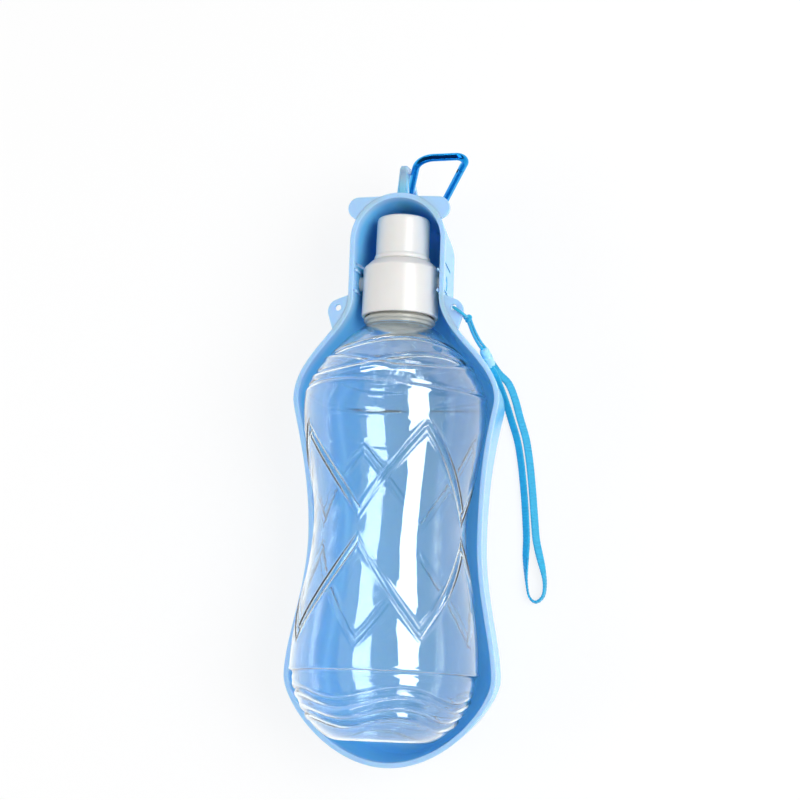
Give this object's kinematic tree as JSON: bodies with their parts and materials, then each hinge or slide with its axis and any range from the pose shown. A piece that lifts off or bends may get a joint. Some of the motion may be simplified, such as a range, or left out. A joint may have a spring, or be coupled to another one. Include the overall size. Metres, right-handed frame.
{
  "type": "dog travel water bottle",
  "caption": "Folding travel water bottle for dogs: a clear bottle with a pull spout, hinged in a peanut-shaped drinking trough with a snap hook and a wrist strap.",
  "frame": {"origin": "on the trough's flat back, straight below the axis that the bottle swings about", "axes": "+X to the lanyard's side, +Y along the trough toward the spout and hood, +Z out of the open trough"},
  "size_m": [0.1007, 0.2454, 0.0811],
  "materials": {
    "trough_blue": "gloss",
    "bottle_clear": "clear gloss",
    "cap_white": "satin",
    "seal": "matte",
    "carabiner_blue": "blue anodised",
    "steel": "bright",
    "webbing": "ribbed webbing",
    "coupling": "gloss"
  },
  "bodies": {
    "trough": {"trough": "trough_blue", "lanyard_eye": "webbing", "lanyard_knot": "webbing", "lanyard_cord": "webbing", "lanyard_coupling": "coupling", "lanyard_strap": "webbing"},
    "cap": {"cap": "cap_white", "sealing_washer": "seal", "spout_o_ring": "seal"},
    "bottle": {"bottle": "bottle_clear"},
    "sleeve": {"spout_sleeve": "cap_white"},
    "carabiner": {"carabiner_body": "carabiner_blue", "gate_pin": "steel"},
    "gate": {"carabiner_gate": "carabiner_blue", "gate_spring": "steel"}
  },
  "joints": [
    {"name": "bottle_swing", "type": "hinge", "parent": "trough", "child": "cap", "pos_m": [0, 0, 0.0374], "axis": [-1, 0, 0], "range_deg": [0, 110]},
    {"name": "bottle_unscrew", "type": "hinge", "parent": "cap", "child": "bottle", "pos_m": [0, 0, 0.0374], "axis": [0, -0.9991, 0.0429], "range_deg": [0, 540]},
    {"name": "spout_pull", "type": "slide", "parent": "cap", "child": "sleeve", "axis": [0, 0.9991, -0.0429], "range_m": [0, 0.0022]},
    {"name": "carabiner_swing", "type": "hinge", "parent": "trough", "child": "carabiner", "pos_m": [0.0063, 0.0506, 0.0426], "axis": [0.3003, 0.4004, 0.8658], "range_deg": [0, 90]},
    {"name": "gate_opens", "type": "hinge", "parent": "carabiner", "child": "gate", "pos_m": [0.00916, 0.03699, 0.00837], "axis": [0.1378, -0.9163, 0.376], "range_deg": [0, 25], "stiffness_Nm_per_rad": 0.01, "springref_deg": -8.59}
  ]
}
